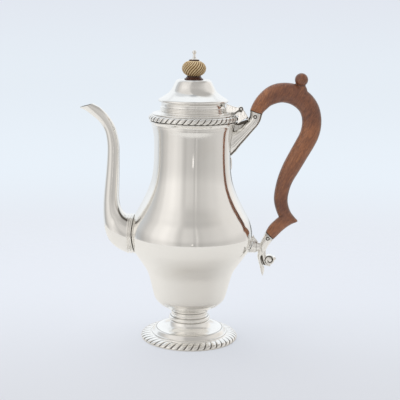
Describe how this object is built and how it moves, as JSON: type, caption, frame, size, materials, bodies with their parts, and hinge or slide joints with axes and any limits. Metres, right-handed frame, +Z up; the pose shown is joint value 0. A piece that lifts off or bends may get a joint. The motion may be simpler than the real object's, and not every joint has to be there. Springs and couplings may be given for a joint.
{
  "type": "hinged-lid coffee pot",
  "caption": "Tall baluster pot on a round foot, with a swan-neck spout, hinged domed lid with carved finial, and a wooden scroll handle.",
  "frame": {"origin": "centre of the plane that the foot stands on, on the axis of the turned body", "axes": "+Z up the body's axis, spout towards -X, handle towards +X, hinge pin along Y"},
  "size_m": [0.2293, 0.119, 0.28],
  "materials": {
    "silver": "polished silver with fine wear",
    "handle_wood": "oiled, hand rubbed",
    "carved_bone": "carved, polished",
    "dark_wood": "satin"
  },
  "bodies": {
    "pot": {"body_shell": "silver", "rim_collar": "silver", "lip_border": "silver", "foot_shell": "silver", "foot_border": "silver", "foot_wire": "silver", "spout_left": "silver", "spout_right": "silver", "spout_collar": "silver", "upper_socket": "silver", "upper_socket_drop": "silver", "lower_socket": "silver", "lower_socket_plate": "silver", "handle": "handle_wood", "upper_rivet": "silver", "lower_rivet": "silver", "hinge_body_leaf": "silver", "hinge_pin": "silver"},
    "lid": {"lid_dome": "silver", "lid_band": "silver", "lid_flange": "silver", "lid_bezel": "silver", "hinge_lid_leaf": "silver", "finial_collar": "dark_wood", "finial_knob": "carved_bone", "finial_washer": "dark_wood", "finial_pin": "silver", "finial_nut": "silver"}
  },
  "joints": [
    {"name": "lid_hinge", "type": "hinge", "parent": "pot", "child": "lid", "pos_m": [0.045, 0, 0.2263], "axis": [0, 1, 0], "range_deg": [0, 90]}
  ]
}
